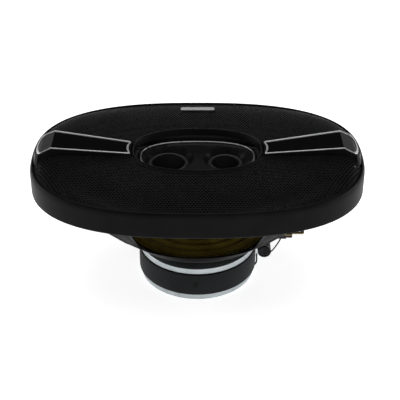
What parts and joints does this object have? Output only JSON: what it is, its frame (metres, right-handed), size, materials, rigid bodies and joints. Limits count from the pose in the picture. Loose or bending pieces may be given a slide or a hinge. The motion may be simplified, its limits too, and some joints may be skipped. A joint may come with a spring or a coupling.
{
  "type": "coaxial car speaker",
  "caption": "Oval coaxial car speaker: ferrite motor, vented basket, corrugated spider, cone, two dome tweeters on a post and a push-on mesh grille with two silver-edged arms.",
  "frame": {"origin": "centre of the magnet's back face, which is the middle of the bottom of the part", "axes": "+Z out of the grille along the cone's axis, +X along the oval's long axis"},
  "size_m": [0.2484, 0.172, 0.1155],
  "materials": {
    "satin_plastic": "satin black moulded plastic",
    "gloss_plastic": "piano black gloss plastic",
    "mesh_paint": "black powder coat on perforated steel",
    "silver_trim": "satin silver plating",
    "badge_metal": "satin, blank",
    "basket_paint": "semi-gloss black paint on pressed steel",
    "zinc_plate": "bright zinc plating",
    "ferrite": "dark ground ferrite",
    "spider_cloth": "resin-treated corrugated cloth",
    "rubber": "matt black rubber",
    "cone_paper": "matt black pressed fibre",
    "coil_former": "amber polyimide film",
    "copper": "enamelled copper wire",
    "tinned_wire": "braided tinned copper",
    "fibre_board": "matt pressed fibre board",
    "brass": "plated blade",
    "steel": "plated steel",
    "sleeve": "black vinyl sleeve",
    "foil": "bright foil tape",
    "dome_cloth": "coated dark grey cloth"
  },
  "bodies": {
    "root": {"back_plate_and_pole": "zinc_plate", "magnet_ring": "ferrite", "top_plate": "zinc_plate", "basket_cup": "basket_paint", "basket_legs": "basket_paint", "basket_flange": "basket_paint", "basket_rivet_1": "steel", "basket_rivet_2": "steel", "basket_rivet_3": "steel", "basket_rivet_4": "steel", "surround_gasket": "rubber", "surround": "rubber", "spider": "spider_cloth", "tinsel_lead_positive": "tinned_wire", "tinsel_lead_negative": "tinned_wire", "terminal_board": "fibre_board", "board_rivet": "steel", "positive_terminal": "brass", "positive_terminal_rivet": "steel", "negative_terminal": "brass", "negative_terminal_rivet": "steel", "crossover_capacitor": "sleeve", "crossover_wire": "sleeve", "tweeter_feed_cable": "sleeve", "foil_strip": "foil", "tweeter_post": "satin_plastic", "pod_body": "satin_plastic", "pod_face": "satin_plastic", "pod_trim_ring": "silver_trim", "pod_screw_front": "steel", "pod_screw_rear": "steel", "large_tweeter_cup": "zinc_plate", "large_tweeter_magnet": "steel", "large_tweeter_pole_plate": "zinc_plate", "large_tweeter_surround": "rubber", "large_tweeter_lead": "sleeve", "small_tweeter_cup": "zinc_plate", "small_tweeter_magnet": "steel", "small_tweeter_pole_plate": "zinc_plate", "small_tweeter_surround": "rubber", "small_tweeter_lead": "sleeve"},
    "cone_assembly": {"cone": "cone_paper", "voice_coil_former": "coil_former", "voice_coil_winding": "copper"},
    "large_dome": {"large_tweeter_dome": "dome_cloth", "large_tweeter_coil": "copper"},
    "small_dome": {"small_tweeter_dome": "dome_cloth", "small_tweeter_coil": "copper"},
    "grille": {"grille_rim": "satin_plastic", "grille_bridge": "satin_plastic", "grille_mesh_front": "mesh_paint", "grille_mesh_rear": "mesh_paint", "arm_insert_left": "gloss_plastic", "arm_insert_right": "gloss_plastic", "arm_trim_left": "silver_trim", "arm_trim_right": "silver_trim", "badge_plate": "badge_metal"}
  },
  "joints": [
    {"name": "cone_excursion", "type": "slide", "parent": "root", "child": "cone_assembly", "axis": [0, 0, 1], "range_m": [-0.005, 0.005], "stiffness_N_per_m": 3000, "deforming": ["surround", "spider", "tinsel_lead_positive", "tinsel_lead_negative"]},
    {"name": "large_dome_excursion", "type": "slide", "parent": "root", "child": "large_dome", "axis": [0, 0, 1], "range_m": [-0.0004, 0.0004], "stiffness_N_per_m": 300, "deforming": ["large_tweeter_surround"]},
    {"name": "small_dome_excursion", "type": "slide", "parent": "root", "child": "small_dome", "axis": [0, 0, 1], "range_m": [-0.0003, 0.0003], "stiffness_N_per_m": 300, "deforming": ["small_tweeter_surround"]},
    {"name": "grille_lift", "type": "slide", "parent": "root", "child": "grille", "axis": [0, 0, 1], "range_m": [0, 0.06]}
  ]
}
